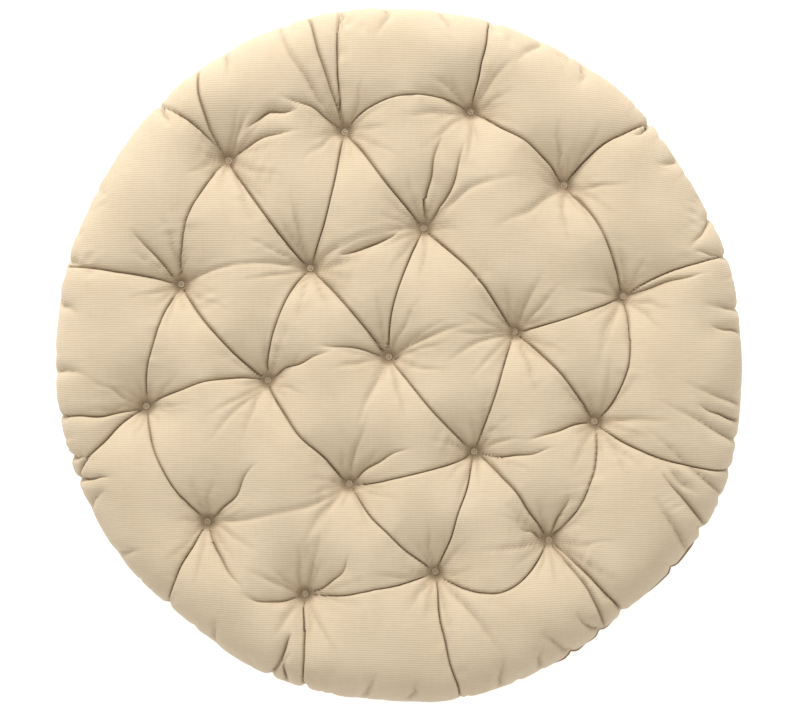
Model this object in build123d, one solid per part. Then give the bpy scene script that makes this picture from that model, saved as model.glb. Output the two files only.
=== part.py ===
from build123d import *

# Round tufted chair pad: two cover panels sewn at the rim, three batts of fibre, and nineteen tufts.
# Frame: origin at the bottom centre, +Z up, +X along the ribs of the cover fabric, millimetres.
# Each tuft is a button on top, a button below, and a loop of twine that draws the two together.

import os
from math import cos, degrees, radians, sin, sqrt

# Whole pad
PAD_DIAMETER = 1118.0
LOFT = 130.0
PAD_RADIUS = PAD_DIAMETER / 2
MID_HEIGHT = LOFT / 2
RIM_DEPTH = 104.0  # how far in from the seam the rounded rim reaches

# Cover fabric and its rim seam
FABRIC = 1.2
SEAM_ALLOWANCE = 12.0
SEAM_LINE = 7.0  # from the rim's inner face in to the row of stitches
THREAD_RADIUS = 0.4
SEAM_GAP = 1.2  # free height over each allowance, where the thread lies

# Fibre batts
BATT_SPLIT = 20.0  # height of the core batt above and below the middle

# Tuft grid: rows a to e from the far side to the near side
TUFT_PITCH = 205.0
GRID_TURN = 12.0
GRID_CENTRE = (-18.0, -2.0)
ROWS = {"a": 3, "b": 4, "c": 5, "d": 4, "e": 3}
# How far each hand-made tuft lies from its place in the even grid
WANDER = {
    "a1": (17, 11),
    "a2": (3, 14),
    "a3": (5, 4),
    "b1": (4, 7),
    "b2": (11, -10),
    "b3": (-7, 12),
    "b4": (18, 38),
    "c1": (11, 6),
    "c2": (6, 5),
    "c4": (2, -2),
    "c5": (-24, 12),
    "d1": (-28, -27),
    "d2": (0, -9),
    "d4": (-7, 6),
    "e1": (-8, 9),
    "e2": (1, 2),
    "e3": (-17, 10),
}

# Dimple that each tuft draws into the pad
SEAT_HEIGHT = 88.0  # the top face under a button
DIMPLE_REACH = 80.0
SEAT_MARGIN = 1.5  # the flat seat is this much wider than the button all round
DIMPLE_RISE = 2.0  # how far the dimple's arc peaks over the pad, so that it meets the top at an angle
TUFT_HOLE = 2.6

# Button: a nylon mould wrapped in the cover fabric, 18 ligne
BUTTON_RADIUS = 5.7
BUTTON_HEIGHT = 3.8
FOOT_INSET = 0.7  # the foot is this much narrower than the waist
FOOT_BELLY = 0.1  # how far the side between them bulges past a straight line
BELLY_HEIGHT = 0.2  # as a share of the button's height
SHOULDER = (4.2, 3.7)  # a point that the crown passes through: from the axis, and up from the foot
DISH_RADIUS = 2.7
DISH_DEPTH = 0.9
WRAP = 0.5
TUCK = 0.6  # how far the wrap is turned in under the mould
TWINE_RADIUS = 0.75
TWINE_HOLE = 0.9
HOLE_OFFSET = 1.5  # each of the two holes from the button's centre
KNOT_RADIUS = 2.9
KNOT_HEIGHT = 1.0
KNOT_ROOM = 0.2
KNOT_ROUNDING = 0.4  # as a share of the knot's height

# Hand stitches that close the gap the pad was filled through, on the far side of the rim
CLOSING_LENGTH = 300.0
STITCH_PITCH = 8.0
STITCH_LENGTH = 5.0
STITCH_LEAN = 25.0
STITCH_CLEARANCE = 0.2

# Spare length of a cutting tool past what it cuts
SPARE = 10.0


def tuft_places():
    """Name to (x, y) of every tuft: a turned triangular grid, moved by the hand-made wander."""
    along = TUFT_PITCH * Vector(cos(radians(GRID_TURN)), sin(radians(GRID_TURN)))
    up = TUFT_PITCH * Vector(cos(radians(GRID_TURN + 60)), sin(radians(GRID_TURN + 60)))
    places = {}
    for step, (row, count) in zip((2, 1, 0, -1, -2), ROWS.items()):
        first = -2 + max(0, -step)
        for number in range(count):
            name = f"{row}{number + 1}"
            wander = Vector(*WANDER.get(name, (0, 0)))
            places[name] = Vector(*GRID_CENTRE) + up * step + along * (first + number) + wander
    return places


def turned(*edges):
    """Solid of revolution about Z from the edges of a closed outline drawn in the XZ plane."""
    return revolve(Plane.XZ * make_face(Curve() + list(edges)), axis=Axis.Z)


def raised(shape, place, height=0.0):
    """The shape moved to a tuft's place."""
    return Pos(place.X, place.Y, height) * shape


def below(shape):
    """The shape mirrored about the pad's middle height."""
    return mirror(shape, about=Plane.XY.offset(MID_HEIGHT))


def blank(inset):
    """The pad before tufting, shrunk by inset on every side: flat faces and a rounded rim."""
    side, half = RIM_DEPTH - inset, MID_HEIGHT - inset
    flat = PAD_RADIUS - RIM_DEPTH
    top, bottom = MID_HEIGHT + half, MID_HEIGHT - half
    rim = EllipticalCenterArc((flat, MID_HEIGHT), side, half, -90, arc_size=180)
    return turned(
        Line((0, bottom), (flat, bottom)),
        rim,
        Line((flat, top), (0, top)),
        Line((0, top), (0, bottom)),
    )


def dimple(inset):
    """Tool that cuts one top dimple: a flat seat, then a wall that rounds over into the pad."""
    fall = LOFT + DIMPLE_RISE - SEAT_HEIGHT
    run = DIMPLE_REACH - BUTTON_RADIUS - SEAT_MARGIN
    arc = (run**2 + fall**2) / (2 * fall)
    radius, centre = arc - inset, LOFT + DIMPLE_RISE - arc
    seat, peak, over = SEAT_HEIGHT - inset, centre + radius, LOFT + SPARE
    foot = DIMPLE_REACH - sqrt(radius**2 - (seat - centre) ** 2)
    half_turn = radius / sqrt(2)
    return turned(
        Line((0, seat), (foot, seat)),
        ThreePointArc(
            (foot, seat),
            (DIMPLE_REACH - half_turn, centre + half_turn),
            (DIMPLE_REACH, peak),
        ),
        Line((DIMPLE_REACH, peak), (DIMPLE_REACH, over)),
        Line((DIMPLE_REACH, over), (0, over)),
        Line((0, over), (0, seat)),
    )


def tufted(inset, places):
    """The pad's form with every dimple and twine hole cut, shrunk by inset."""
    tool = dimple(inset)
    hole = Pos(0, 0, MID_HEIGHT) * Cylinder(TUFT_HOLE, LOFT)
    tools = [raised(t, p) for p in places.values() for t in (tool, below(tool), hole)]
    return blank(inset) - tools


def ring(inner, outer, low, high):
    """Flat ring about Z."""
    body = Cylinder(outer, high - low) - Cylinder(inner, high - low)
    return Pos(0, 0, (low + high) / 2) * body


def covers(outer, inner):
    """Top and bottom panels, each with the seam allowance that is turned in at the rim."""
    shell = outer - inner
    edge = PAD_RADIUS - FABRIC
    allowance = ring(edge - SEAM_ALLOWANCE, edge + FABRIC / 2, MID_HEIGHT, MID_HEIGHT + FABRIC)
    allowance &= outer
    top = split(shell, Plane.XY.offset(MID_HEIGHT), keep=Keep.TOP) + allowance
    bottom = split(shell, Plane.XY.offset(MID_HEIGHT), keep=Keep.BOTTOM) + below(allowance)
    return top, bottom


def batts(inner):
    """Upper, core and lower layers of fibre, clear of the seam allowances."""
    edge = PAD_RADIUS - FABRIC
    room = FABRIC + SEAM_GAP
    groove = ring(edge - SEAM_ALLOWANCE - SEAM_GAP, edge + SPARE, MID_HEIGHT - room, MID_HEIGHT + room)
    fill = inner - groove
    high, low = Plane.XY.offset(MID_HEIGHT + BATT_SPLIT), Plane.XY.offset(MID_HEIGHT - BATT_SPLIT)
    upper = split(fill, high, keep=Keep.TOP)
    lower = split(fill, low, keep=Keep.BOTTOM)
    core = split(split(fill, high, keep=Keep.BOTTOM), low, keep=Keep.TOP)
    return upper, core, lower


def seam_thread():
    """The needle thread of the rim seam, lying on the top panel's allowance."""
    line = PAD_RADIUS - FABRIC - SEAM_LINE
    return Pos(0, 0, MID_HEIGHT + FABRIC + THREAD_RADIUS) * Torus(line, THREAD_RADIUS)


def button_skin(inset):
    """The button's outline from its foot round to its dish, shrunk by inset."""
    radius, dish = BUTTON_RADIUS - inset, BUTTON_HEIGHT - DISH_DEPTH - inset
    foot, waist = (radius - FOOT_INSET, inset), (radius, BUTTON_HEIGHT / 2)
    shoulder, lip = (SHOULDER[0], SHOULDER[1] - inset), (DISH_RADIUS, dish)
    belly = ((foot[0] + radius) / 2 + FOOT_BELLY, BUTTON_HEIGHT * BELLY_HEIGHT + inset / 2)
    side = ThreePointArc(foot, belly, waist)
    crown = ThreePointArc(waist, shoulder, lip)
    return foot, [side, crown, Line(lip, (0, dish))], dish


def button():
    """(fabric wrap, nylon mould) of one button, both pierced for the twine."""
    outer_foot, outer_skin, outer_dish = button_skin(0)
    foot, skin, dish = button_skin(WRAP)
    tuck = (foot[0] - TUCK, 0)
    wrap = turned(
        *outer_skin,
        Line((0, outer_dish), (0, dish)),
        *skin,
        Line(foot, (tuck[0], WRAP)),
        Line((tuck[0], WRAP), tuck),
        Line(tuck, outer_foot),
    )
    back = KNOT_HEIGHT + KNOT_ROOM
    hollow = KNOT_RADIUS + KNOT_ROOM
    mould = turned(
        *skin,
        Line((0, dish), (0, back)),
        Line((0, back), (hollow, back)),
        Line((hollow, back), (hollow, WRAP)),
        Line((hollow, WRAP), foot),
    )
    bore = Cylinder(TWINE_HOLE, 2 * (BUTTON_HEIGHT + SPARE))
    holes = [Pos(x, 0, 0) * bore for x in (-HOLE_OFFSET, HOLE_OFFSET)]
    return wrap - holes, mould - holes


def twine():
    """One tuft's loop: through both buttons, over each one's face, and knotted in the lower one's back."""
    over = SEAT_HEIGHT + BUTTON_HEIGHT - DISH_DEPTH
    under = LOFT - over
    leg = Pos(0, 0, MID_HEIGHT) * Cylinder(TWINE_RADIUS, over - under)
    legs = [Pos(x, 0, 0) * leg for x in (-HOLE_OFFSET, HOLE_OFFSET)]
    round_end = Pos(HOLE_OFFSET, 0) * Circle(TWINE_RADIUS)
    bend = revolve(Plane.XY.offset(over) * round_end, Axis((0, 0, over), (0, -1, 0)), 180)
    knot_height = LOFT - SEAT_HEIGHT - KNOT_HEIGHT / 2
    knot = Pos(0, 0, knot_height) * Cylinder(KNOT_RADIUS, KNOT_HEIGHT)
    knot = fillet(knot.edges(), KNOT_HEIGHT * KNOT_ROUNDING)
    return legs[0] + legs[1] + bend + below(bend) + knot


def closing_stitches():
    """Slanted hand stitches across the seam, centred on the far side of the rim."""
    count = int(CLOSING_LENGTH / STITCH_PITCH)
    out = PAD_RADIUS + THREAD_RADIUS + STITCH_CLEARANCE
    stitch = Cylinder(THREAD_RADIUS, STITCH_LENGTH)
    stitch = Rot(STITCH_LEAN, 0, 0) * fillet(stitch.edges(), THREAD_RADIUS / 2)
    turn = degrees(STITCH_PITCH / PAD_RADIUS)
    angles = [90 + turn * (i - (count - 1) / 2) for i in range(count)]
    return [Rot(0, 0, angle) * (Pos(out, 0, MID_HEIGHT) * stitch) for angle in angles]


def main():
    places = tuft_places()
    outer, inner = tufted(0, places), tufted(FABRIC, places)
    parts = dict(zip(("top_cover", "bottom_cover"), covers(outer, inner)))
    parts |= dict(zip(("upper_fibre_batt", "core_fibre_batt", "lower_fibre_batt"), batts(inner)))
    thread = seam_thread()
    parts["rim_needle_thread"] = thread
    parts["rim_bobbin_thread"] = below(thread)
    parts["closing_stitches"] = Compound(closing_stitches())

    wrap, mould = button()
    for name, place in places.items():
        top = raised(wrap, place, SEAT_HEIGHT)
        parts[f"top_button_{name}"] = top
        parts[f"bottom_button_{name}"] = below(top)
    moulds = [raised(mould, place, SEAT_HEIGHT) for place in places.values()]
    parts["top_button_moulds"] = Compound(moulds)
    parts["bottom_button_moulds"] = Compound([below(m) for m in moulds])
    loop = twine()
    for row in ROWS:
        loops = [raised(loop, place) for name, place in places.items() if name[0] == row]
        parts[f"tuft_twine_row_{row}"] = Compound(loops)

    os.makedirs("parts", exist_ok=True)
    for name, shape in parts.items():
        export_step(shape, f"parts/{name}.step")


main()
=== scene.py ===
import itertools
import math

import bpy
import numpy as np
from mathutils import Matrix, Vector


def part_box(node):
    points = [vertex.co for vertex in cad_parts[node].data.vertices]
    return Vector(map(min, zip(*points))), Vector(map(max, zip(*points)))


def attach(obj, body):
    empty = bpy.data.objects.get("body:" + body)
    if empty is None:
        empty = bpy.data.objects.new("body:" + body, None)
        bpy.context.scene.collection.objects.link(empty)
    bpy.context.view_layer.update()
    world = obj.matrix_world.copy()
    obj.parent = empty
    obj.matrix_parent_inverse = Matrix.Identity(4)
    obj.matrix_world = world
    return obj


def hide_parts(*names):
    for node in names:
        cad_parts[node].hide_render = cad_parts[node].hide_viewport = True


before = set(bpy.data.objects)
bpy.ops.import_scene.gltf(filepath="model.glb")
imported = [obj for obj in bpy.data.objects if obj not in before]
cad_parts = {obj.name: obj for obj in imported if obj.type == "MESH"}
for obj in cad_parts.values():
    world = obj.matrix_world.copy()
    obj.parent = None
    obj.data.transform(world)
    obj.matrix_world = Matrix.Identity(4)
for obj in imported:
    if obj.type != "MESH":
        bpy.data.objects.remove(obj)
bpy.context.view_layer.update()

chance = np.random.default_rng(19)
MM = 0.001
TINY = 1e-9  # keeps a division from failing at zero

# ---------------------------------------------------------------------------
# Sizes read from the frame, in metres
# ---------------------------------------------------------------------------
cover_low, cover_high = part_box("top_cover")
PAD_RADIUS = (cover_high.x - cover_low.x) / 2
SEAM_HEIGHT = cover_low.z
HALF_LOFT = cover_high.z - cover_low.z
TUFT_NAMES = [f"{row}{n + 1}" for row, count in zip("abcde", (3, 4, 5, 4, 3)) for n in range(count)]


def tuft_place(name):
    """Centre of a tuft in plan, from its top button."""
    low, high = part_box(f"top_button_{name}")
    return np.array([(low.x + high.x) / 2, (low.y + high.y) / 2])


TUFTS = {name: tuft_place(name) for name in TUFT_NAMES}
SEAT_DROP = cover_high.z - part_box("top_button_a1")[0].z

# ---------------------------------------------------------------------------
# Creases of the top panel, in millimetres and degrees
# ---------------------------------------------------------------------------
# What a crease of each kind looks like across: a broad valley, and a narrow fold in its bottom that
# leans under the pillow beside it. Depths and half-widths in millimetres.
KINDS = {
    "deep": dict(valley=13, reach=42, fold=12, width=3.4, lean=3.4),
    "line": dict(valley=8, reach=32, fold=11, width=2.6, lean=2.2),
    "soft": dict(valley=6, reach=26, fold=3.9, width=9.0, lean=2.0),
    "pleat": dict(valley=8, reach=24, fold=9, width=4.2, lean=4.0),
    "wisp": dict(valley=2, reach=14, fold=3.6, width=8.0, lean=1.0),
    "tuck": dict(valley=7, reach=20, fold=5, width=5.0, lean=3.0),
}
# Between two tufts: from, to, sideways bow of the middle (+ is left of the way), kind
BETWEEN = [
    ("a1", "b1", -25, "line"),
    ("a1", "b2", -5, "deep"),
    ("a2", "b2", 5, "line"),
    ("a2", "b3", 0, "deep"),
    ("a2", "a3", 40, "line"),
    ("a3", "b4", 15, "deep"),
    ("b1", "b2", 20, "soft"),
    ("b1", "c1", -15, "line"),
    ("b1", "c2", -10, "deep"),
    ("b2", "b3", 20, "soft"),
    ("b2", "c2", -20, "line"),
    ("b2", "c3", 5, "deep"),
    ("b3", "c4", 10, "deep"),
    ("b3", "c3", -15, "line"),
    ("b4", "c5", 20, "deep"),
    ("c1", "c2", 20, "pleat"),
    ("c1", "d1", -20, "line"),
    ("c2", "d2", -10, "deep"),
    ("c3", "d3", -5, "line"),
    ("c4", "c5", -5, "line"),
    ("c4", "d3", 0, "line"),
    ("c4", "d4", 10, "deep"),
    ("c5", "d4", 30, "line"),
    ("d1", "d2", -15, "soft"),
    ("d2", "d3", -10, "line"),
    ("d2", "e2", -10, "line"),
    ("d3", "e3", 10, "deep"),
    ("d3", "e2", 5, "line"),
    ("d4", "e3", 25, "line"),
    ("e1", "e2", -10, "line"),
    ("e2", "e3", -55, "line"),
]
# From a tuft out to the seam: tuft, angle of its end round the pad, bow, kind
TO_RIM = [
    ("a1", 125, 10, "pleat"),
    ("a1", 134, -10, "line"),
    ("a2", 100, 5, "line"),
    ("a2", 105, 0, "pleat"),
    ("a2", 110, 10, "soft"),
    ("a3", 75, 0, "line"),
    ("b1", 165, -5, "pleat"),
    ("b4", 43, 15, "deep"),
    ("c1", 190, 5, "pleat"),
    ("c1", 201, -10, "deep"),
    ("c5", 17, 10, "line"),
    ("d1", 227, -5, "line"),
    ("d4", 341, -20, "line"),
    ("e1", 254, 0, "line"),
    ("e2", 280, -5, "line"),
    ("e3", 311, 5, "deep"),
    ("e3", 307, 10, "pleat"),
]
# Into open cloth: tuft, direction, length, bow, kind
LOOSE = [
    ("a1", 65, 100, 0, "soft"),
    ("a1", 20, 130, 10, "pleat"),
    ("a2", 155, 120, -10, "pleat"),
    ("a3", 185, 120, 0, "soft"),
    ("a3", 50, 120, 5, "soft"),
    ("a3", 25, 80, 0, "wisp"),
    ("a3", 145, 90, -10, "soft"),
    ("b1", 130, 120, 0, "pleat"),
    ("b2", 105, 130, 0, "soft"),
    ("b2", 20, 110, -10, "soft"),
    ("b3", 80, 160, 5, "pleat"),
    ("b3", 65, 160, -10, "pleat"),
    ("b3", 25, 190, 25, "soft"),
    ("b4", 210, 140, 5, "soft"),
    ("b4", 95, 110, 5, "soft"),
    ("b4", 60, 120, 0, "soft"),
    ("b4", 300, 90, 10, "soft"),
    ("c2", 225, 150, 0, "wisp"),
    ("c2", 25, 120, 5, "pleat"),
    ("c3", 170, 120, -5, "pleat"),
    ("c3", 20, 160, 10, "soft"),
    ("c3", 250, 140, -10, "soft"),
    ("c4", 205, 130, -10, "soft"),
    ("c4", 65, 110, 5, "soft"),
    ("c5", 15, 150, 5, "pleat"),
    ("c5", 250, 130, -10, "soft"),
    ("d1", 50, 130, -5, "pleat"),
    ("d1", 300, 130, -10, "pleat"),
    ("d2", 75, 120, 5, "soft"),
    ("d2", 30, 120, 10, "pleat"),
    ("d2", 235, 130, -10, "soft"),
    ("d3", 5, 130, -10, "pleat"),
    ("d4", 195, 120, -5, "pleat"),
    ("d4", 0, 120, 5, "soft"),
    ("d4", 315, 110, -5, "soft"),
    ("e1", 175, 110, 15, "pleat"),
    ("e1", 235, 90, -5, "soft"),
    ("e1", 75, 110, 0, "soft"),
    ("e1", 45, 100, -15, "pleat"),
    ("e2", 310, 180, 5, "soft"),
    ("e2", 230, 80, 0, "soft"),
    ("e3", 330, 150, 0, "soft"),
    ("e3", 70, 90, 0, "pleat"),
    ("e3", 155, 60, 0, "pleat"),
]
# Starting in open cloth near a tuft: tuft, how far right and up of it, direction, length, bow, kind
ADRIFT = [
    ("a1", 30, 45, 20, 90, 10, "pleat"),
    ("b2", 40, 20, 20, 110, -5, "pleat"),
    ("e1", -20, -60, 245, 80, 0, "pleat"),
    ("d4", 110, -65, 315, 70, -5, "soft"),
]
# From the seam inwards: angle at the rim, length, swing of the inner end in degrees, kind
FROM_RIM = [
    (4, 60, 2, "tuck"), (352, 110, 3, "soft"), (346, 150, 5, "soft"), (349, 80, 2, "pleat"),
    (337, 160, 7, "soft"), (331, 120, 6, "pleat"), (326, 110, 6, "soft"), (24, 70, -4, "tuck"),
    (17, 60, 3, "tuck"), (8, 70, 2, "soft"), (43, 45, 0, "pleat"), (35, 45, 2, "soft"),
    (300, 70, -3, "soft"), (306, 60, -2, "tuck"), (294, 45, 2, "soft"), (248, 60, 2, "tuck"),
    (251, 45, -2, "pleat"), (201, 60, 2, "pleat"), (197, 45, 2, "tuck"), (206, 45, -2, "soft"),
    (190, 40, 1, "soft"), (182, 70, 2, "soft"), (164, 60, 1, "soft"), (171, 45, 2, "soft"),
    (134, 45, 1, "tuck"), (120, 50, 2, "soft"), (100, 40, 0, "tuck"), (92, 55, 2, "soft"),
    (83, 45, -2, "soft"), (66, 60, 3, "soft"), (58, 45, -2, "soft"), (215, 45, 2, "soft"),
    (237, 45, -2, "soft"), (264, 55, 2, "soft"), (272, 45, 1, "soft"), (287, 55, 2, "soft"),
]
# Rim: how far the outline swings from round. Angle, half-width in degrees, millimetres out
SWINGS = [(30, 16, -11), (112, 26, 8), (230, 9, -10), (280, 12, 6), (310, 9, -9), (335, 10, 9), (3, 9, -6)]
# Small gathers where the rim is drawn in by its seam: angle, half-width in degrees, depth in millimetres
GATHERS = [
    (197, 1.6, 9), (201, 1.3, 8), (190, 1.2, 5), (134, 1.4, 5), (227, 1.3, 6), (254, 1.2, 8),
    (248, 1.4, 7), (311, 1.3, 8), (306, 1.4, 6), (300, 1.5, 6), (330, 1.6, 9), (322, 1.5, 6),
    (43, 1.3, 7), (17, 1.3, 7), (24, 1.5, 6), (8, 1.3, 4), (74, 1.3, 6), (109, 1.3, 6),
    (164, 1.2, 4), (346, 1.4, 5), (341, 1.3, 5), (336, 1.4, 5), (290, 1.3, 4), (280, 1.2, 4),
]

RIM_DEPTH = 92 * MM
RIM_ROUNDNESS = 2.5  # superellipse power of the rim's section
ROLL = 6 * MM  # radius of the cloth's turn in to the seam
ALLOWANCE = 12 * MM  # cloth turned in behind the seam
SEAT_RADIUS = 5 * MM  # flat cloth under a button
TUFT_REACH = 108 * MM
FUNNEL_REACH = 30 * MM
FUNNEL_DROP = 16 * MM
SEAM_GAP = 0.4 * MM  # from the cloth at the seam to the plane of the seam
RIM_SAMPLES = 90
ROLL_SAMPLES = 12


def rim_profile():
    """Section of the top panel from the middle out: (distance along the cloth, radius, height) samples."""
    flat = PAD_RADIUS - RIM_DEPTH
    turn = np.linspace(0, math.pi / 2, RIM_SAMPLES)
    power = 2 / RIM_ROUNDNESS
    radius = flat + RIM_DEPTH * np.sin(turn) ** power
    height = SEAM_HEIGHT + ROLL + (HALF_LOFT - ROLL) * np.cos(turn) ** power
    bend = np.linspace(0, math.pi / 2, ROLL_SAMPLES)[1:]
    roll_r = PAD_RADIUS - ROLL + ROLL * np.cos(bend)
    roll_z = SEAM_HEIGHT + ROLL - (ROLL - SEAM_GAP) * np.sin(bend)
    radius = np.concatenate([[0], radius, roll_r, [roll_r[-1] - ALLOWANCE]])
    height = np.concatenate([[height[0]], height, roll_z, [roll_z[-1]]])
    run = np.concatenate([[0], np.cumsum(np.hypot(np.diff(radius), np.diff(height)))])
    return run, radius, height


RUN, PROFILE_R, PROFILE_Z = rim_profile()
CLOTH_RADIUS = RUN[-1]

# ---------------------------------------------------------------------------
# Crease paths in plan
# ---------------------------------------------------------------------------
PATH_POINTS = 26
WOBBLE = 1.6 * MM  # how far a crease strays from its smooth curve
PAST_RIM = 5 * MM  # a top crease that meets the rim runs on this far past it
EDGE_BOW = 2 * MM
# Faint wrinkles round each tuft of a panel: how many, and their range of lengths in millimetres
TOP_WISPS = (12, (40, 120))
BOTTOM_WISPS = (6, (25, 60))
WISP_BOW = 3  # spread of their bows, in millimetres
WISP_SCATTER = 0.8  # how far one may turn, as a share of the way to the next
# How far the bottom panel's creases may differ: most bow in millimetres, and most turn at the rim in degrees
BOTTOM_BOW = 20
BOTTOM_TURN = 6
# How a crease's valley and its fold fade along it, as shares of their full depth
VALLEY_TAPERS = {
    "between": lambda t: 0.62 + 0.38 * np.cos(2 * math.pi * t),
    "rim": lambda t: 1 - 0.55 * t,
    "loose": lambda t: (1 - t**2) ** 1.5,
    "edge": lambda t: (1 - t**2) ** 1.5,
    "adrift": lambda t: np.sin(math.pi * t),
}
FOLD_TAPERS = {
    "between": lambda t: 0.85 + 0.15 * np.cos(2 * math.pi * t),
    "rim": lambda t: 1 - 0.3 * t,
    "loose": lambda t: (1 - t**2) ** 1.2,
    "edge": lambda t: (1 - t**2) ** 1.2,
    "adrift": lambda t: np.sin(math.pi * t),
}


def polar(degrees, radius):
    """The point in plan at an angle and a distance from the pad's centre."""
    turn = math.radians(degrees)
    return radius * np.array([math.cos(turn), math.sin(turn)])


def crease(start, end, bow, kind, course):
    """One crease: its path, how it fades along that, and its section in metres."""
    along = end - start
    side = np.array([-along[1], along[0]]) / np.hypot(*along)
    t = np.linspace(0, 1, PATH_POINTS)[:, None]
    middle = (start + end) / 2 + 2 * bow * side
    path = (1 - t) ** 2 * start + 2 * t * (1 - t) * middle + t**2 * end
    for waves in (2, 3, 5):
        swing = chance.normal(0, WOBBLE / waves**0.5)
        path = path + swing * np.sin(math.pi * waves * t) * side
    section = {name: size * MM for name, size in KINDS[kind].items()}
    section["starts_at_tuft"] = course not in ("adrift", "edge")
    section["ends_at_tuft"] = course == "between"
    return dict(path=path, taper=VALLEY_TAPERS[course], fold_taper=FOLD_TAPERS[course], **section)


def top_creases():
    """Every crease of the top panel."""
    found = []
    for start, end, bow, kind in BETWEEN:
        found.append(crease(TUFTS[start], TUFTS[end], bow * MM, kind, "between"))
    for start, angle, bow, kind in TO_RIM:
        found.append(crease(TUFTS[start], polar(angle, PAD_RADIUS + PAST_RIM), bow * MM, kind, "rim"))
    for start, angle, length, bow, kind in LOOSE:
        end = TUFTS[start] + polar(angle, length * MM)
        found.append(crease(TUFTS[start], end, bow * MM, kind, "loose"))
    for angle, length, swing, kind in FROM_RIM:
        end = polar(angle + swing, PAD_RADIUS - length * MM)
        found.append(crease(polar(angle, PAD_RADIUS + PAST_RIM), end, EDGE_BOW, kind, "edge"))
    for tuft, right, up, angle, length, bow, kind in ADRIFT:
        start = TUFTS[tuft] + np.array([right, up]) * MM
        found.append(crease(start, start + polar(angle, length * MM), bow * MM, kind, "adrift"))
    return found + tuft_wisps(*TOP_WISPS)


def tuft_wisps(count, lengths):
    """Short faint wrinkles that fan out round every tuft."""
    found = []
    for place in TUFTS.values():
        for number in range(count):
            angle = 360 * (number + chance.uniform(0, WISP_SCATTER)) / count
            end = place + polar(angle, chance.uniform(*lengths) * MM)
            found.append(crease(place, end, chance.normal(0, WISP_BOW) * MM, "wisp", "loose"))
    return found


def bottom_creases():
    """Creases of the bottom panel: along the tuft grid, out to the seam, and wisps."""
    found = []
    kinds = itertools.cycle(("deep", "line", "soft", "line"))
    for start, end, _, _ in BETWEEN:
        bow = chance.uniform(-BOTTOM_BOW, BOTTOM_BOW) * MM
        found.append(crease(TUFTS[start], TUFTS[end], bow, next(kinds), "between"))
    for start, angle, _, _ in TO_RIM:
        end = polar(angle + chance.uniform(-BOTTOM_TURN, BOTTOM_TURN), PAD_RADIUS)
        found.append(crease(TUFTS[start], end, 0, "line", "rim"))
    return found + tuft_wisps(*BOTTOM_WISPS)


def along_path(points, path):
    """For each point: distance to the path, way from it, share along it, and direction to its left."""
    best = np.full(len(points), np.inf)
    way = np.zeros((len(points), 2))
    share = np.zeros(len(points))
    left = np.zeros((len(points), 2))
    for number in range(len(path) - 1):
        start, step = path[number], path[number + 1] - path[number]
        length = np.hypot(*step)
        away = points - start
        t = np.clip(away @ step / length**2, 0, 1)
        gap = away - t[:, None] * step
        distance = np.hypot(gap[:, 0], gap[:, 1])
        closer = distance < best
        best[closer] = distance[closer]
        way[closer] = gap[closer]
        share[closer] = (number + t[closer]) / (len(path) - 1)
        left[closer] = np.array([-step[1], step[0]]) / length
    return best, way / np.maximum(best, TINY)[:, None], share, left


def smooth(x):
    """Smooth step from 0 to 1."""
    x = np.clip(x, 0, 1)
    return x * x * (3 - 2 * x)


CROWD_REACH = 20 * MM  # points this near a fold crowd in towards it, so that the fold is fine enough
CROWD_POWER = 2.1
CROWD_FADE = 3  # crowding is full where a fold has at least one part in this many of its depth
CROWD_SMOOTHINGS = 2
FOLDED = 4 * MM  # a crease with a deeper fold than this is sharp
TUFT_CLEAR = 30 * MM  # folds grow to full depth over about this distance from a tuft
CLEAR_START = 0.25  # how far along that growth they are at the tuft
VALLEY_BLEND = 4  # power by which valleys that cross are summed


def near_path(plan, c, reach):
    """Points within reach of a crease: their numbers, and what along_path says of them."""
    low, high = c["path"].min(0) - reach, c["path"].max(0) + reach
    near = np.flatnonzero(np.all((plan > low) & (plan < high), axis=1))
    facts = along_path(plan[near], c["path"])
    keep = facts[0] < reach
    return near[keep], *(fact[keep] for fact in facts)


def crowd(plan, creases):
    """How far each point slides over the cloth towards its nearest sharp crease."""
    nearest = np.full(len(plan), 2 * CROWD_REACH)
    second = nearest.copy()
    towards = np.zeros((len(plan), 2))
    for c in creases:
        if c["fold"] <= FOLDED:
            continue
        near, distance, way, share, _ = near_path(plan, c, 2 * CROWD_REACH)
        closer = distance < nearest[near]
        second[near] = np.where(closer, nearest[near], np.minimum(second[near], distance))
        nearest[near] = np.minimum(nearest[near], distance)
        fade = np.minimum(CROWD_FADE * c["fold_taper"](share), 1)[:, None]
        towards[near] = np.where(closer[:, None], -way * fade, towards[near])
    reach = np.minimum(CROWD_REACH, (nearest + second) / 2)
    share = np.minimum(nearest / reach, 1)
    return towards * (np.minimum(nearest, reach) - reach * share**CROWD_POWER)[:, None]


def softened(slide, cells):
    """The slide of a grid's points, evened out with their neighbours'."""
    grid = slide.reshape(cells + 1, cells + 1, 2)
    for _ in range(CROWD_SMOOTHINGS):
        grid = (np.concatenate([grid[1:], grid[-1:]]) + 2 * grid + np.concatenate([grid[:1], grid[:-1]])) / 4
        grid = grid.transpose(1, 0, 2)
    return grid.reshape(-1, 2)


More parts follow.
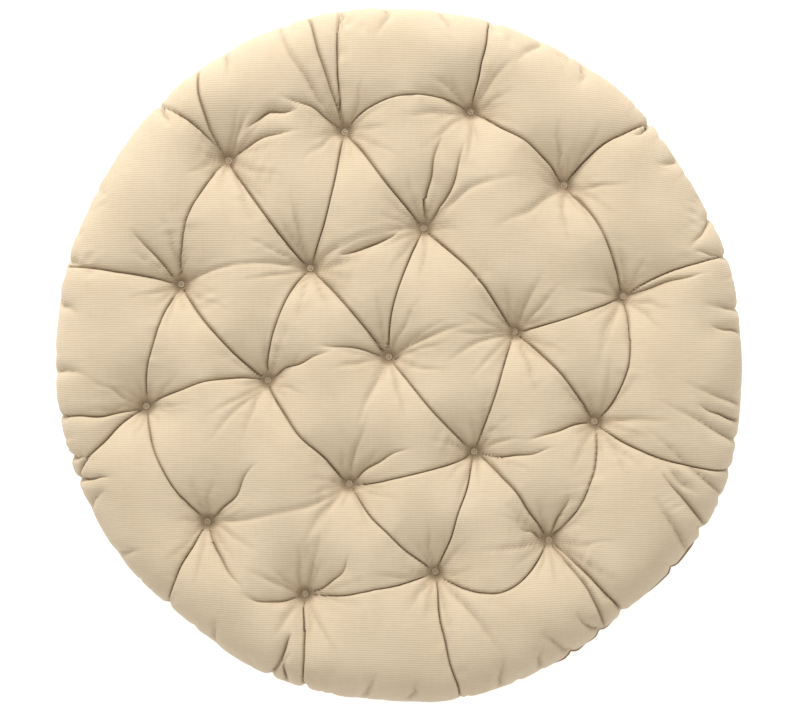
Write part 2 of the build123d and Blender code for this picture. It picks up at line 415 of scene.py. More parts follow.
def press(plan, creases):
    """What the creases do to points in plan: (valley depth, fold depth, sideways lean)."""
    valley = np.zeros(len(plan))
    fold = np.zeros(len(plan))
    lean = np.zeros((len(plan), 2))
    for c in creases:
        near, distance, _, share, left = near_path(plan, c, c["reach"])
        length = np.hypot(*np.diff(c["path"], axis=0).T).sum()
        clear = np.ones(len(near))
        if c["starts_at_tuft"]:
            clear = clear * smooth(CLEAR_START + share * length / TUFT_CLEAR)
        if c["ends_at_tuft"]:
            clear = clear * smooth(CLEAR_START + (1 - share) * length / TUFT_CLEAR)
        depth = c["taper"](share) * c["valley"] * (1 - distance / c["reach"]) ** 2
        valley[near] += depth**VALLEY_BLEND
        groove = c["fold_taper"](share) * clear * (1 - np.minimum(distance / c["width"], 1)) ** 2
        deeper = groove * c["fold"] > fold[near]
        fold[near] = np.where(deeper, groove * c["fold"], fold[near])
        sideways = (np.where(left[:, 1] > 0, -1, 1) * groove * c["lean"])[:, None] * left
        lean[near] = np.where(deeper[:, None], sideways, lean[near])
    return valley ** (1 / VALLEY_BLEND), fold, lean


def tuft_pull(plan):
    """How far the tufts draw the cloth down, and the same as a share of the full draw."""
    wide = SEAT_DROP - FUNNEL_DROP
    drop = np.zeros(len(plan))
    for place in TUFTS.values():
        distance = np.maximum(np.hypot(*(plan - place).T) - SEAT_RADIUS, 0)
        cone = wide * (1 - np.minimum(distance / TUFT_REACH, 1)) ** 2
        funnel = FUNNEL_DROP * (1 - np.minimum(distance / FUNNEL_REACH, 1)) ** 2
        drop = np.maximum(drop, cone + funnel)
    return drop, drop / SEAT_DROP


def lumps(plan, lengths, size, waves=9):
    """Smooth random unevenness: a sum of plane waves with lengths in a range, size metres high."""
    total = np.zeros(len(plan))
    for _ in range(waves):
        wave = polar(chance.uniform(0, 360), 2 * math.pi / chance.uniform(*lengths))
        total += np.sin(plan @ wave + chance.uniform(0, 2 * math.pi))
    return total * size / math.sqrt(waves)


# ---------------------------------------------------------------------------
# Rim: outline and gathers, shared by both panels so that they meet along the seam
# ---------------------------------------------------------------------------
SMALL_GATHERS = 46
SMALL_WIDTHS = (0.7, 1.7)
SMALL_DEPTHS = (0.8, 3.0)
small_angles = chance.uniform(0, 360, SMALL_GATHERS)
small_widths = chance.uniform(*SMALL_WIDTHS, SMALL_GATHERS)
small_depths = chance.uniform(*SMALL_DEPTHS, SMALL_GATHERS)
ALL_GATHERS = GATHERS + list(zip(small_angles, small_widths, small_depths))


def turn_between(angles, centre):
    """Smallest turn from centre to each angle, in degrees."""
    return np.abs((angles - centre + 180) % 360 - 180)


def outline_swing(angles):
    """How far the rim swings out at each angle, in metres."""
    swing = np.zeros(len(angles))
    for centre, width, out in SWINGS:
        swing += out * MM * np.exp(-((turn_between(angles, centre) / width) ** 2))
    return swing


def gather_depth(angles):
    """How far the seam's gathers draw the rim in at each angle, in metres."""
    depth = np.zeros(len(angles))
    for centre, width, size in ALL_GATHERS:
        share = np.minimum(turn_between(angles, centre) / width, 1)
        depth = np.maximum(depth, size * MM * (1 - share) ** 2)
    return depth


# ---------------------------------------------------------------------------
# The panels
# ---------------------------------------------------------------------------
def round_grid(cells):
    """A disc of radius 1 as a square grid bent round: points (n, 2) and faces."""
    line = np.linspace(-1, 1, cells + 1)
    a, b = (g.ravel() for g in np.meshgrid(line, line, indexing="ij"))
    wide = np.abs(a) > np.abs(b)
    safe_a = np.where(a == 0, 1, a)
    safe_b = np.where(b == 0, 1, b)
    radius = np.where(wide, a, b)
    turn = np.where(wide, math.pi / 4 * b / safe_a, math.pi / 2 - math.pi / 4 * a / safe_b)
    points = np.stack([radius * np.cos(turn), radius * np.sin(turn)], 1)
    corner = np.arange(cells * (cells + 1)).reshape(cells, cells + 1)[:, :-1].ravel()
    faces = np.stack([corner, corner + cells + 1, corner + cells + 2, corner + 1], 1)
    return points, faces


SHADE_FOLD = 9 * MM  # a fold this deep is in full shade
FUNNEL_SHADE = 0.75  # most shade round a button
GATHER_RUN = 95 * MM  # how far in from the seam a gather's pleat reaches
LUMP_LENGTHS = (90 * MM, 220 * MM)
LUMP_HEIGHT = 1.2 * MM
OPEN_MARGIN = 22 * MM  # creases and lumps fade out over this distance from the seam's roll
SLOPE_STEP = 1 * MM
# Shares of the full tuft draw, as (where it starts, how much further it is complete)
SEAT_FADE = (0.7, 0.3)  # creases fade out on the way down to the button
SHADE_FADE = (0.5, 0.4)  # the shade round the button grows
VALLEY_EASE = 0.5  # how much shallower a valley is at a full draw
FOLD_EASE = 0.35


def shaped(cells, creases):
    """Top-panel form on a round grid: flat cloth points, placed points, faces and shade."""
    disc, faces = round_grid(cells)
    flat = disc * CLOTH_RADIUS
    run = np.hypot(*flat.T)
    roll_start = CLOTH_RADIUS - ALLOWANCE - ROLL * math.pi / 2
    open_cloth = 1 - smooth((run - (roll_start - OPEN_MARGIN)) / OPEN_MARGIN)
    spread = (np.interp(run, RUN, PROFILE_R) / np.maximum(run, TINY))[:, None]
    slide = softened(crowd(flat * spread, creases), cells)
    flat = flat + slide / np.maximum(spread, 0.1) * open_cloth[:, None]
    run = np.hypot(*flat.T)
    ray = flat / np.maximum(run, TINY)[:, None]
    angles = np.degrees(np.arctan2(flat[:, 1], flat[:, 0])) % 360
    radius = np.interp(run, RUN, PROFILE_R)
    height = np.interp(run, RUN, PROFILE_Z)
    before, after = run - SLOPE_STEP, run + SLOPE_STEP
    slope_r = (np.interp(after, RUN, PROFILE_R) - np.interp(before, RUN, PROFILE_R)) / (2 * SLOPE_STEP)
    slope_z = (np.interp(after, RUN, PROFILE_Z) - np.interp(before, RUN, PROFILE_Z)) / (2 * SLOPE_STEP)
    size = np.maximum(np.hypot(slope_r, slope_z), 1e-6)
    out, up = -slope_z / size, slope_r / size

    plan = ray * radius[:, None]
    valley, fold, lean = press(plan, creases)
    drop, share = tuft_pull(plan)
    off_seat = 1 - smooth((share - SEAT_FADE[0]) / SEAT_FADE[1])
    ruck = (valley * (1 - VALLEY_EASE * share) + fold * (1 - FOLD_EASE * share)) * off_seat
    drop = (drop + ruck + lumps(plan, LUMP_LENGTHS, LUMP_HEIGHT) * (1 - share)) * open_cloth
    near_seam = smooth((run - (roll_start - GATHER_RUN)) / GATHER_RUN) ** 2
    gather = gather_depth(angles)
    side_drop = gather * near_seam * open_cloth
    radial = radius - out * (drop + side_drop) - gather * (1 - open_cloth)
    radial = radial + outline_swing(angles) * (radius / PAD_RADIUS) ** 3
    z = height - np.maximum(up, 0) * (drop + side_drop)
    placed = ray * radial[:, None] + lean * (off_seat * open_cloth)[:, None]
    # Painted shade for the cloth's colour: by fold depth, and round each button as the cloth draws down to
    # it.
    funnel_shade = FUNNEL_SHADE * smooth((share - SHADE_FADE[0]) / SHADE_FADE[1])
    shade = np.maximum(fold / SHADE_FOLD * off_seat, funnel_shade) * open_cloth
    return flat, np.column_stack([placed, z]), faces, shade


def make_mesh(name, points, faces, flat=None, shade=None):
    """A smooth-shaded object. Its UVs are the flat cloth in metres, and shade is how much shade is painted
    into its colour, in folds, round buttons and on a shaded rim.
    """
    mesh = bpy.data.meshes.new(name)
    mesh.from_pydata(points.tolist(), [], faces.tolist())
    mesh.polygons.foreach_set("use_smooth", np.ones(len(mesh.polygons), bool))
    if flat is not None:
        layer = mesh.uv_layers.new(name="cloth")
        corners = np.empty(len(mesh.loops), int)
        mesh.loops.foreach_get("vertex_index", corners)
        layer.data.foreach_set("uv", flat[corners].ravel().astype(np.float32))
    if shade is not None:
        mesh.attributes.new("shade", "FLOAT", "POINT").data.foreach_set("value", shade.clip(0, 1))
    mesh.update()
    piece = bpy.data.objects.new(name, mesh)
    bpy.context.scene.collection.objects.link(piece)
    return piece


# ---------------------------------------------------------------------------
# Cloth simulation: the stuffing's pressure settles each panel between its tufts, creases and seam
# ---------------------------------------------------------------------------
SIM_CELLS = 96
SIM_FRAMES = 16
CLOTH_SLACK = 1.05  # the cloth was cut this much larger than the form it starts from
PRESSURE = 60
CLOTH_MASS = 0.02
CLOTH_SPEED = 4
CREASE_HOLD = 0.5  # how firmly a crease keeps its place, from 0 to 1
CREASE_HOLD_REACH = 5 * MM
TUFT_HOLD_REACH = 8 * MM
MOST_MOVE = 10 * MM


def held_weights(plan, creases):
    """How firmly each point is held: the tufts fully, the deeper creases partly."""
    weight = np.zeros(len(plan))
    for c in creases:
        if c["fold"] < FOLDED:
            continue
        distance, _, share, _ = along_path(plan, c["path"])
        hold = CREASE_HOLD * np.sqrt(c["fold_taper"](share).clip(0, 1)) * (distance < CREASE_HOLD_REACH)
        weight = np.maximum(weight, hold)
    for place in TUFTS.values():
        weight[np.hypot(*(plan - place).T) < TUFT_HOLD_REACH] = 1
    return weight


def settle(name, points, faces, weight):
    """Where the cloth comes to rest under the stuffing's pressure, from its starting points."""
    piece = make_mesh(name, points, faces)
    piece.shape_key_add(name="start")
    cut = piece.shape_key_add(name="cut")
    cut.data.foreach_set("co", (points * CLOTH_SLACK).ravel())
    group = piece.vertex_groups.new(name="held")
    for level in np.unique(weight[weight > 0].round(2)):
        members = np.flatnonzero(weight.round(2) == level)
        group.add(members.tolist(), float(level), "REPLACE")
    modifier = piece.modifiers.new("cloth", "CLOTH")
    cloth = modifier.settings
    cloth.vertex_group_mass = "held"
    cloth.pin_stiffness = 8
    cloth.rest_shape_key = cut
    cloth.quality = 6
    cloth.mass = CLOTH_MASS
    cloth.time_scale = CLOTH_SPEED
    cloth.tension_damping = 1
    cloth.compression_damping = 1
    cloth.shear_damping = 1
    cloth.air_damping = 0.2
    cloth.tension_stiffness = 20
    cloth.compression_stiffness = 20
    cloth.shear_stiffness = 6
    cloth.bending_stiffness = 0.08
    cloth.use_pressure = True
    cloth.uniform_pressure_force = PRESSURE
    cloth.effector_weights.gravity = 0
    modifier.collision_settings.use_collision = False
    modifier.point_cache.frame_start = 1
    modifier.point_cache.frame_end = SIM_FRAMES
    scene = bpy.context.scene
    for step in range(1, SIM_FRAMES + 1):
        scene.frame_set(step)
    settled = piece.evaluated_get(bpy.context.evaluated_depsgraph_get()).to_mesh()
    places = np.empty(len(points) * 3)
    settled.vertices.foreach_get("co", places)
    scene.frame_set(1)
    bpy.data.objects.remove(piece)
    return places.reshape(-1, 3)


def resample(values, cells, new_cells):
    """Values on one round grid carried to a finer one, smoothly."""
    at = np.linspace(0, cells, new_cells + 1)
    base = np.clip(np.floor(at).astype(int), 0, cells - 1)
    t = (at - base)[:, None]
    weights = np.hstack([
        -0.5 * t + t**2 - 0.5 * t**3,
        1 - 2.5 * t**2 + 1.5 * t**3,
        0.5 * t + 2 * t**2 - 1.5 * t**3,
        -0.5 * t**2 + 0.5 * t**3,
    ])
    matrix = np.zeros((new_cells + 1, cells + 1))
    for column in range(4):
        index = np.clip(base + column - 1, 0, cells)
        np.add.at(matrix, (np.arange(new_cells + 1), index), weights[:, column])
    grid = values.reshape(cells + 1, cells + 1, -1)
    fine = np.einsum("ai,bj,ijk->abk", matrix, matrix, grid, optimize=True)
    return fine.reshape(-1, values.shape[1])


def panel(name, cells, creases):
    lump_state = chance.bit_generator.state
    flat, points, faces, shade = shaped(cells, creases)
    after = chance.bit_generator.state
    chance.bit_generator.state = lump_state
    _, start, coarse_faces, _ = shaped(SIM_CELLS, creases)
    chance.bit_generator.state = after
    weight = held_weights(start[:, :2], creases)
    edge = np.hypot(*round_grid(SIM_CELLS)[0].T) * CLOTH_RADIUS
    weight[edge > CLOTH_RADIUS - ALLOWANCE - ROLL * 2] = 1
    move = settle(name + "_cloth", start, coarse_faces, weight) - start
    size = np.linalg.norm(move, axis=1)
    move *= (MOST_MOVE * np.tanh(size / MOST_MOVE) / np.maximum(size, TINY))[:, None]
    return flat, points + resample(move, SIM_CELLS, cells), faces, shade


# Where the lower panel's rim shows past the upper one's: angle, half-width in degrees, millimetres out
UNDER_RIM = [(322, 8, 5.5), (303, 7, 5.0)]
UNDER_SHADE_DEPTH = 1 * MM  # rim that stands out this far is in full shade


def under_rim(points, flat):
    """How far the lower panel's rolled rim stands out past the upper one's, and its shade there."""
    angles = np.degrees(np.arctan2(points[:, 1], points[:, 0])) % 360
    out = np.zeros(len(points))
    for centre, width, size in UNDER_RIM:
        out = np.maximum(out, size * MM * (1 - np.minimum(turn_between(angles, centre) / width, 1) ** 4))
    run = np.hypot(*flat.T)
    roll_middle = CLOTH_RADIUS - ALLOWANCE - ROLL * math.pi / 2
    out = out * (1 - np.minimum(np.abs(run - roll_middle) / (ROLL * math.pi / 2), 1) ** 2)
    turn = np.radians(angles)
    moved = np.column_stack([out * np.cos(turn), out * np.sin(turn), np.zeros(len(points))])
    return moved, np.minimum(out / UNDER_SHADE_DEPTH, 1)


TOP_CELLS = 316
BOTTOM_CELLS = 316
FLOOR_GAP = 0.3 * MM
flat, top_points, top_faces, shade = panel("top", TOP_CELLS, top_creases())
top = make_mesh("cover_top", top_points, top_faces, flat, shade)
flat, bottom_points, bottom_faces, shade = panel("bottom", BOTTOM_CELLS, bottom_creases())
bottom_points[:, 2] = np.maximum(2 * SEAM_HEIGHT - bottom_points[:, 2], FLOOR_GAP)
under_edge, under_shade = under_rim(bottom_points, flat)
bottom_points = bottom_points + under_edge
# Painted shade on the part of the lower rim that stands out past the upper one.
shade = np.maximum(shade, under_shade)
bottom = make_mesh("cover_bottom", bottom_points, bottom_faces[:, ::-1], flat, shade)


# ---------------------------------------------------------------------------
# What the covers hold: fibre batts, seam threads and closing stitches
# ---------------------------------------------------------------------------
def rim_radius(angles):
    """Radius of the rim's outside at each angle in degrees."""
    return PAD_RADIUS + outline_swing(angles) - gather_depth(angles)


HEIGHT_CELL = 10 * MM
HEIGHT_SPAN = 1.1  # half the width of the height grid, as a share of the pad's radius


def lowest_near(points, plan):
    """Height of the surface's lowest points round each point in plan, smoothly varying."""
    reach = PAD_RADIUS * HEIGHT_SPAN
    count = math.ceil(2 * reach / HEIGHT_CELL)
    at = ((points[:, :2] + reach) / HEIGHT_CELL).astype(int)
    lowest = np.full((count, count), np.inf)
    np.minimum.at(lowest, (at[:, 0], at[:, 1]), points[:, 2])
    shifts = [(i, j) for i in (-1, 0, 1) for j in (-1, 0, 1)]
    lowest = np.minimum.reduce([np.roll(lowest, shift, (0, 1)) for shift in shifts])
    where = (plan + reach) / HEIGHT_CELL - 0.5
    cell = where.astype(int)
    part = where - cell
    total = np.zeros(len(plan))
    for i, j in ((0, 0), (0, 1), (1, 0), (1, 1)):
        weight = np.abs(1 - i - part[:, 0]) * np.abs(1 - j - part[:, 1])
        total += weight * lowest[cell[:, 0] + i, cell[:, 1] + j]
    return total


BATT_CELLS = 100
BATT_GAP = 1.5 * MM  # fibre lies this far inside the cover
BATT_INSET = 26 * MM  # fibre stops this far in from the rim


def batt(name, upper, lower, plan, faces, edge):
    """A closed layer of fibre between two sets of heights over the same points in plan."""
    count = len(plan)
    following = np.roll(edge, -1)
    walls = np.stack([edge, edge + count, following + count, following], 1)
    points = np.concatenate([np.column_stack([plan, upper]), np.column_stack([plan, lower])])
    return make_mesh(name, points, np.concatenate([faces, faces[:, ::-1] + count, walls]))


def batts():
    """The three fibre layers, kept inside the settled covers."""
    disc, faces = round_grid(BATT_CELLS)
    turn = np.arctan2(disc[:, 1], disc[:, 0])
    plan = disc * (rim_radius(np.degrees(turn) % 360) - BATT_INSET)[:, None]
    edge = np.flatnonzero(np.hypot(*disc.T) > 1 - 1e-6)
    edge = edge[np.argsort(turn[edge])]
    ceiling = lowest_near(top_points, plan) - BATT_GAP
    floor = -lowest_near(bottom_points * (1, 1, -1), plan) + BATT_GAP
    low, high = (corner.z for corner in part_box("core_fibre_batt"))
    level = np.ones(len(plan))
    upper = batt("fibre_upper", np.maximum(ceiling, high + BATT_GAP), level * high, plan, faces, edge)
    core = batt("fibre_core", level * high, level * low, plan, faces, edge)
    lower = batt("fibre_lower", level * low, np.minimum(floor, low - BATT_GAP), plan, faces, edge)
    return upper, core, lower


def tube(name, paths, radius, sides=8, closed=False):
    """Round threads along lists of points, as one mesh."""
    verts, faces = [], []
    ring = np.arange(sides) * 2 * math.pi / sides
    for path in paths:
        base = len(verts)
        count = len(path)
        ahead = np.roll(path, -1, 0) - np.roll(path, 1, 0)
        if not closed:
            ahead[0], ahead[-1] = path[1] - path[0], path[-1] - path[-2]
        for point, way in zip(path, ahead):
            way = way / np.linalg.norm(way)
            across = np.cross(way, (0.01, 0.02, 1) if abs(way[2]) < 0.9 else (point[0], point[1], 0))
            across /= np.linalg.norm(across)
            third = np.cross(way, across)
            verts.extend(point + radius * (math.cos(a) * across + math.sin(a) * third) for a in ring)
        for step in range(count if closed else count - 1):
            here, there = base + step * sides, base + (step + 1) % count * sides
            for k in range(sides):
                after = (k + 1) % sides
                faces.append([here + k, here + after, there + after, there + k])
        if not closed:
            faces.append([base + k for k in reversed(range(sides))])
            faces.append([base + (count - 1) * sides + k for k in range(sides)])
    mesh = bpy.data.meshes.new(name)
    mesh.from_pydata([tuple(v) for v in verts], [], faces)
    mesh.polygons.foreach_set("use_smooth", np.ones(len(mesh.polygons), bool))
    piece = bpy.data.objects.new(name, mesh)
    bpy.context.scene.collection.objects.link(piece)
    return piece


needle_low, needle_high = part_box("rim_needle_thread")
THREAD_RADIUS = (needle_high.z - needle_low.z) / 2
SEAM_INSET = 3 * MM  # from the roll's inner side in to the row of stitches
SEAM_STEP = 0.6  # degrees between points of the thread


def seam_thread(name, node):
    """One thread of the rim seam, following the gathered rim inside the covers."""
    low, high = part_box(node)
    angles = np.arange(0, 360, SEAM_STEP)
    turn = np.radians(angles)
    radius = rim_radius(angles) - ROLL - SEAM_INSET
    height = np.full(len(angles), (low.z + high.z) / 2)
    path = np.column_stack([radius * np.cos(turn), radius * np.sin(turn), height])
    return tube(name, [path], THREAD_RADIUS, sides=6, closed=True)


STITCH_LENGTH = 9 * MM
STITCH_PITCH = 8 * MM
STITCH_SLANT = 0.35  # sideways run of a stitch, as a share of its rise
# How far a stitch's ends lie in from the rim, and how far it bulges past them, as shares of the roll
STITCH_DEPTH = 0.45
STITCH_BULGE = 0.62


def closing_stitches():
    """Slanted hand stitches that draw the two rolled edges together on the far side of the rim."""
    low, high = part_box("closing_stitches")
    count = round((high.x - low.x) / STITCH_PITCH)
    t = np.linspace(-1, 1, 11)
    paths = []
    for number in range(count):
        degrees = 90 + math.degrees(STITCH_PITCH / PAD_RADIUS) * (number - (count - 1) / 2)
        ray = np.array([*polar(degrees, 1), 0])
        along = np.array([-ray[1], ray[0], 0])
        rim = rim_radius(np.array([degrees]))[0]
        reach = rim - ROLL * STITCH_DEPTH + ROLL * STITCH_BULGE * np.sqrt(1 - t**2)
        rise = t * STITCH_LENGTH / 2
        path = np.outer(reach, ray) + np.outer(rise * STITCH_SLANT, along) + np.outer(rise, (0, 0, 1))
        paths.append(path + np.array([0, 0, SEAM_HEIGHT]))
    return tube("hand_stitches", paths, THREAD_RADIUS)


fibre_upper, fibre_core, fibre_lower = batts()
needle_thread = seam_thread("seam_needle_thread", "rim_needle_thread")
bobbin_thread = seam_thread("seam_bobbin_thread", "rim_bobbin_thread")
hand_stitches = closing_stitches()


# ---------------------------------------------------------------------------
# Materials
# ---------------------------------------------------------------------------
class Surface:
    """A material under construction: its nodes, and short ways to join them."""

    def __init__(self, name, roughness, sheen=0.0):
        self.material = bpy.data.materials.new(name)
        self.material.use_nodes = True
        self.nodes = self.material.node_tree.nodes
        self.links = self.material.node_tree.links
        self.shader = self.nodes["Principled BSDF"]
        self.shader.inputs["Roughness"].default_value = roughness
        self.shader.inputs["Sheen Weight"].default_value = sheen
        self.shader.inputs["Specular IOR Level"].default_value = 0.25

    def fill(self, socket, value):
        """Joins a socket to another node's output, or sets its value."""
        if isinstance(value, bpy.types.NodeSocket):
            self.links.new(value, socket)
        else:
            socket.default_value = value

    def math(self, operation, first, second=0.0):
        """Result of a Math node."""
        node = self.nodes.new("ShaderNodeMath")
        node.operation = operation
        self.fill(node.inputs[0], first)
        self.fill(node.inputs[1], second)
        return node.outputs[0]

    def place(self, source):
        """Position on the object, or on the flat cloth, as (vector, x, y, z)."""
        if source == "cloth":
            node = self.nodes.new("ShaderNodeUVMap")
            node.uv_map = "cloth"
            vector = node.outputs[0]
        else:
            vector = self.nodes.new("ShaderNodeTexCoord").outputs["Object"]
        split = self.nodes.new("ShaderNodeSeparateXYZ")
        self.links.new(vector, split.inputs[0])
        return vector, *split.outputs

    def noise(self, vector, size, detail=2.0, stretch=(1, 1, 1)):
        """Noise from 0 to 1 whose lumps are about size metres across."""
        mapping = self.nodes.new("ShaderNodeMapping")
        mapping.inputs["Scale"].default_value = stretch
        self.links.new(vector, mapping.inputs[0])
        node = self.nodes.new("ShaderNodeTexNoise")
        node.inputs["Scale"].default_value = 1 / size
        node.inputs["Detail"].default_value = detail
        self.links.new(mapping.outputs[0], node.inputs["Vector"])
        return node.outputs[0]

    def wave(self, place, pitch, phase=0.0):
        """A sine from -1 to 1 along one coordinate, every pitch metres."""
        turned = self.math("MULTIPLY", place, 2 * math.pi / pitch)
        return self.math("SINE", self.math("ADD", turned, phase))

    def add(self, *terms):
        """Sum of (output, weight) pairs."""
        total = 0.0
        for output, weight in terms:
            total = self.math("ADD", self.math("MULTIPLY", output, weight), total)
        return total

    def colour(self, amount, stops):
        """Base colour from a value, by (value, colour) stops."""
        ramp = self.nodes.new("ShaderNodeValToRGB")
        self.links.new(amount, ramp.inputs[0])
        while len(ramp.color_ramp.elements) < len(stops):
            ramp.color_ramp.elements.new(0.5)
        for element, (at, colour) in zip(ramp.color_ramp.elements, stops):
            element.position = at
            element.color = (*colour, 1)
        return ramp.outputs[0]

    def mix(self, amount, first, second):
        """Colour between two, by a value from 0 to 1."""
        node = self.nodes.new("ShaderNodeMix")
        node.data_type = "RGBA"
        self.fill(node.inputs[0], amount)
        self.fill(node.inputs[6], first)
        self.fill(node.inputs[7], second)
        return node.outputs[2]

    def finish(self, colour, height, depth, roughness=None):
        """Joins colour, bump height (of depth metres) and roughness to the shader."""
        self.links.new(colour, self.shader.inputs["Base Color"])
        bump = self.nodes.new("ShaderNodeBump")
        bump.inputs["Distance"].default_value = depth
        self.links.new(height, bump.inputs["Height"])
        self.links.new(bump.outputs[0], self.shader.inputs["Normal"])
        if roughness is not None:
            self.links.new(roughness, self.shader.inputs["Roughness"])
        return self.material


RIB_PITCH = 3.6 * MM
WARP_PITCH = 1.3 * MM
CLOTH_DARK = (0.51, 0.398, 0.255)
CLOTH_MIDDLE = (0.603, 0.489, 0.340)
CLOTH_PALE = (0.672, 0.556, 0.398)
# Painted shade: the dark brown that cloth in shade is mixed towards; the button cloth's mottling also
# darkens towards it.
CLOTH_PAINTED_SHADE_AND_MOTTLE = (0.15, 0.075, 0.022)
FOLD_PAINTED_SHADE = 0.8  # painted shade: how far the cloth in full shade, deep in a fold, goes towards the dark brown


def ribbed_cloth(name, source, paints_fold_shade):
    """Plain-dyed cloth with fine ribs across, warp threads between them, slubs, and faint mottling; with the
    flag set, painted shade from the mesh's shade attribute darkens it in folds, round buttons and on a
    shaded rim.
    """
    s = Surface(name, 0.9, sheen=0.12)
    vector, x, y, _ = s.place(source)
    sway = s.noise(vector, 60 * MM)
    rib = s.wave(y, RIB_PITCH, s.math("MULTIPLY", sway, 3.0))
    warp = s.wave(x, WARP_PITCH, s.math("MULTIPLY", sway, 5.0))
    slub = s.noise(vector, 3 * MM, 3.0, (0.12, 1, 1))
    streak = s.noise(vector, 4 * MM, 2.0, (1, 0.08, 1))
    mottle = s.noise(vector, 90 * MM, 3.0)
    fuzz = s.noise(vector, 0.9 * MM, 2.0)
    tone = s.add((rib, 0.13), (warp, 0.04), (slub, 0.35), (streak, 0.2), (mottle, 0.5), (fuzz, 0.2))
    tone = s.math("SUBTRACT", tone, 0.13)
    colour = s.colour(tone, ((0.1, CLOTH_DARK), (0.5, CLOTH_MIDDLE), (0.9, CLOTH_PALE)))
    # Painted shade: the mesh's shade attribute darkens the cloth towards the brown. Without it, the mottling
    # darkens the button cloth towards the same brown.
    if paints_fold_shade:
        shade = s.nodes.new("ShaderNodeAttribute")
        shade.attribute_name = "shade"
        amount = s.math("MULTIPLY", shade.outputs["Fac"], FOLD_PAINTED_SHADE)
    else:
        amount = s.math("MULTIPLY", mottle, 0.5)
    colour = s.mix(amount, colour, (*CLOTH_PAINTED_SHADE_AND_MOTTLE, 1))
    height = s.add((rib, 0.5), (warp, 0.18), (slub, 0.6), (fuzz, 0.35))
    roughness = s.add((slub, 0.12), (fuzz, 0.08))
    return s.finish(colour, height, 0.22 * MM, s.math("ADD", roughness, 0.78))


def fibre(name):
    """Loose white polyester fibre."""
    s = Surface(name, 0.85, sheen=0.3)
    vector, *_ = s.place("object")
    strand = s.noise(vector, 4 * MM, 6.0, (0.3, 1, 1))
    tuft = s.noise(vector, 25 * MM, 3.0)
    tone = s.add((strand, 0.6), (tuft, 0.4))
    colour = s.colour(tone, ((0.3, (0.72, 0.70, 0.65)), (0.6, (0.86, 0.85, 0.82))))
    return s.finish(colour, tone, 1.5 * MM, s.add((strand, 0.2), (tuft, 0.9)))


def twisted(name, dark, pale, pitch, depth):
    """Yarn twisted from strands, whose twist shows as slanting bands."""
    s = Surface(name, 0.7)
    vector, x, y, z = s.place("object")
    twist = s.wave(s.add((x, 0.8), (y, 0.8), (z, 1.0)), pitch)
    fuzz = s.noise(vector, 0.6 * MM, 3.0)
    tone = s.add((twist, 0.25), (fuzz, 0.6))
    colour = s.colour(s.math("ADD", tone, 0.2), ((0.2, dark), (0.75, pale)))
    return s.finish(colour, tone, depth, s.math("ADD", s.math("MULTIPLY", fuzz, 0.3), 0.5))


def moulded(name):
    """Moulded nylon with faint flow marks."""
    s = Surface(name, 0.35)
    vector, *_ = s.place("object")
    flow = s.noise(vector, 5 * MM, 4.0, (1, 0.3, 1))
    grain = s.noise(vector, 0.5 * MM, 2.0)
    colour = s.colour(flow, ((0.3, (0.62, 0.60, 0.54)), (0.7, (0.74, 0.72, 0.66))))
    return s.finish(colour, grain, 0.05 * MM, s.math("ADD", s.math("MULTIPLY", flow, 0.3), 0.25))


def dress(piece, material):
    """Gives the piece or CAD node one material."""
    piece.data.materials.clear()
    piece.data.materials.append(material)


def add_piece(piece, slot, material, *nodes):
    """Gives the piece its material, hangs it under the root body, and hides the CAD nodes that it stands
    for.
    """
    dress(piece, material)
    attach(piece, "root")
    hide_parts(*nodes)


cover_cloth = ribbed_cloth("cover_cloth", "cloth", True)
button_cloth = ribbed_cloth("button_cloth", "object", False)
fibre_fill = fibre("fibre_fill")
sewing_thread = twisted("sewing_thread", (0.40, 0.31, 0.20), (0.62, 0.52, 0.38), 0.5 * MM, 0.08 * MM)
waxed_twine = twisted("waxed_twine", (0.36, 0.30, 0.21), (0.66, 0.60, 0.48), 1.2 * MM, 0.15 * MM)
nylon = moulded("nylon")

add_piece(top, "cover_fabric", cover_cloth, "top_cover")
add_piece(bottom, "cover_fabric", cover_cloth, "bottom_cover")
add_piece(fibre_upper, "fibre_batt", fibre_fill, "upper_fibre_batt")
add_piece(fibre_core, "fibre_batt", fibre_fill, "core_fibre_batt")
add_piece(fibre_lower, "fibre_batt", fibre_fill, "lower_fibre_batt")
add_piece(needle_thread, "sewing_thread", sewing_thread, "rim_needle_thread")
add_piece(bobbin_thread, "sewing_thread", sewing_thread, "rim_bobbin_thread")
add_piece(hand_stitches, "sewing_thread", sewing_thread, "closing_stitches")
for name in TUFT_NAMES:
    dress(bpy.data.objects[f"top_button_{name}"], button_cloth)
    dress(bpy.data.objects[f"bottom_button_{name}"], button_cloth)
for side in ("top", "bottom"):
    dress(bpy.data.objects[f"{side}_button_moulds"], nylon)
for row in "abcde":
    dress(bpy.data.objects[f"tuft_twine_row_{row}"], waxed_twine)


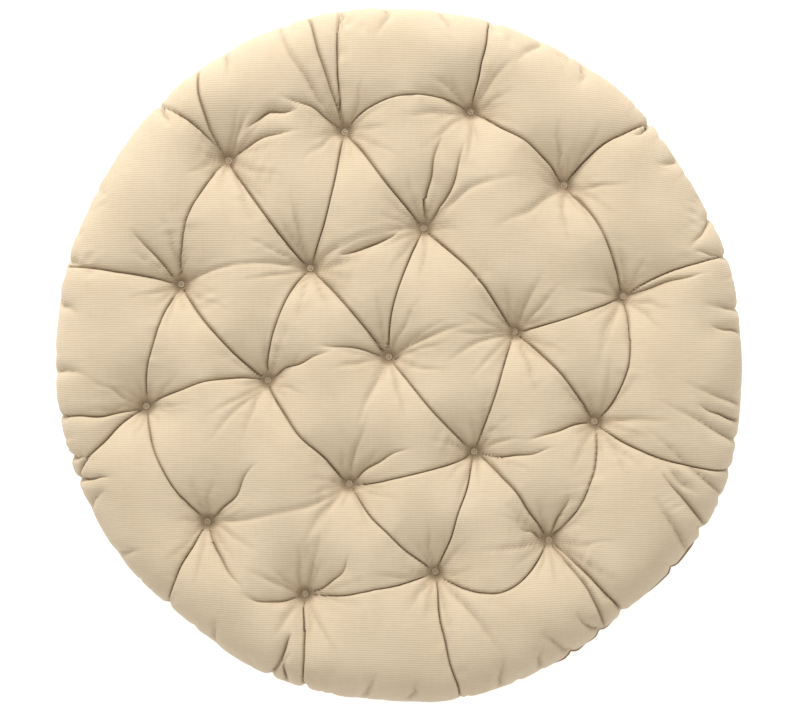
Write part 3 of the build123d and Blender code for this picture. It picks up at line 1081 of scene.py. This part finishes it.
# ---------------------------------------------------------------------------
# Studio
# ---------------------------------------------------------------------------
FLOOR_HALF = 3.0
CAMERA_LENS = 100
CAMERA_HEIGHT = 3.6 + SEAM_HEIGHT
KEY_PLACE = (-1.4, 5.4, 2.9)
KEY_SIZE = 1.8
KEY_POWER = 345
SKY_STRENGTH = 0.84
FLOOR_GLOW = 0.35
WHITE = (1, 1, 1, 1)


def studio_floor():
    """A plain white floor under the pad."""
    mesh = bpy.data.meshes.new("floor")
    corners = [(x * FLOOR_HALF, y * FLOOR_HALF, 0) for x, y in ((-1, -1), (1, -1), (1, 1), (-1, 1))]
    mesh.from_pydata(corners, [], [(0, 1, 2, 3)])
    floor = bpy.data.objects.new("floor", mesh)
    bpy.context.scene.collection.objects.link(floor)
    s = Surface("white_floor", 0.9)
    s.shader.inputs["Base Color"].default_value = WHITE
    s.shader.inputs["Emission Color"].default_value = WHITE
    s.shader.inputs["Emission Strength"].default_value = FLOOR_GLOW
    mesh.materials.append(s.material)


def sky():
    """Even white light from all round."""
    world = bpy.data.worlds.new("studio")
    bpy.context.scene.world = world
    world.use_nodes = True
    background = world.node_tree.nodes["Background"]
    background.inputs["Color"].default_value = WHITE
    background.inputs["Strength"].default_value = SKY_STRENGTH


def key_light():
    """One large soft lamp, low on the far side."""
    lamp = bpy.data.lights.new("key", "AREA")
    lamp.size = KEY_SIZE
    lamp.energy = KEY_POWER
    holder = bpy.data.objects.new("key", lamp)
    holder.location = KEY_PLACE
    holder.rotation_euler = (-Vector(KEY_PLACE)).to_track_quat("-Z", "Y").to_euler()
    bpy.context.scene.collection.objects.link(holder)


def camera():
    """Looking straight down, with +Y up the picture."""
    eye = bpy.data.objects.new("camera", bpy.data.cameras.new("camera"))
    eye.data.lens = CAMERA_LENS
    eye.location = (0, 0, CAMERA_HEIGHT)
    bpy.context.scene.collection.objects.link(eye)
    bpy.context.scene.camera = eye


studio_floor()
sky()
key_light()
camera()
bpy.context.scene.view_settings.view_transform = "Standard"
